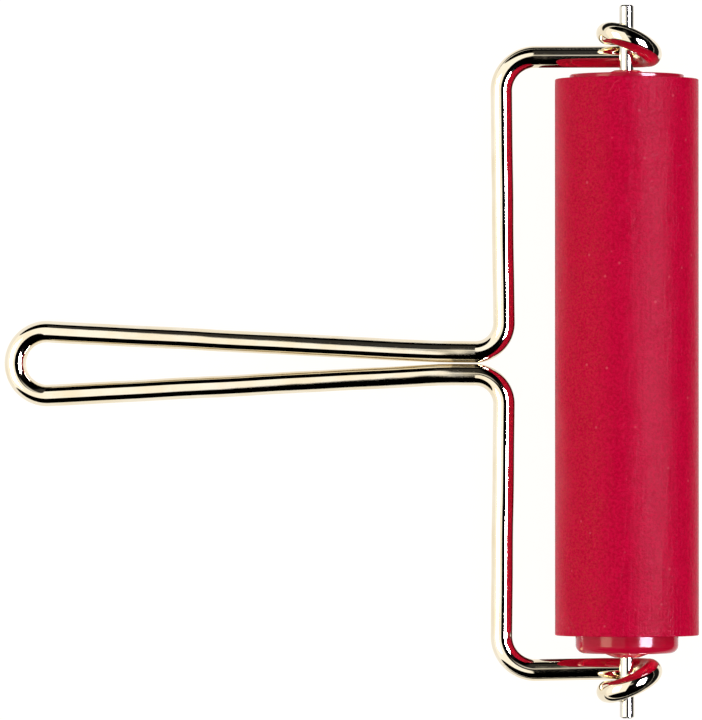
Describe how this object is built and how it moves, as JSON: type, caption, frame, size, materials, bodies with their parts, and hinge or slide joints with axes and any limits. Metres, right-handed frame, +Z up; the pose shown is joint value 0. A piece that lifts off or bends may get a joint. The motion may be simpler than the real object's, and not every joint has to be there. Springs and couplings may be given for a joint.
{
  "type": "brayer",
  "caption": "Hand ink roller: a rubber sleeve on a plastic core turns with its thin axle in the coiled eyes of a one-piece bent-wire yoke that ends in a long loop handle.",
  "frame": {"origin": "on the table, under the middle of the brayer's outline as it lies at rest on its roller and the end of its handle", "axes": "+Y along the axle to the left end as held, -X along the handle away from the roller, +Z up"},
  "size_m": [0.1906, 0.195, 0.0393],
  "materials": {
    "plated_wire": "bright nickel plate, mirror polish",
    "axle_steel": "bright drawn rod",
    "core_plastic": "moulded, glossy",
    "sleeve_rubber": "ground matte"
  },
  "bodies": {
    "frame": {"wire_frame": "plated_wire"},
    "roller": {"rubber_sleeve": "sleeve_rubber", "core_tube": "core_plastic", "end_plug_left": "core_plastic", "end_plug_right": "core_plastic", "axle_rod": "axle_steel"}
  },
  "joints": [
    {"name": "roller_spin", "type": "hinge", "parent": "frame", "child": "roller", "pos_m": [0.07562, 0, 0.01965], "axis": [0, 1, 0], "continuous": true}
  ]
}
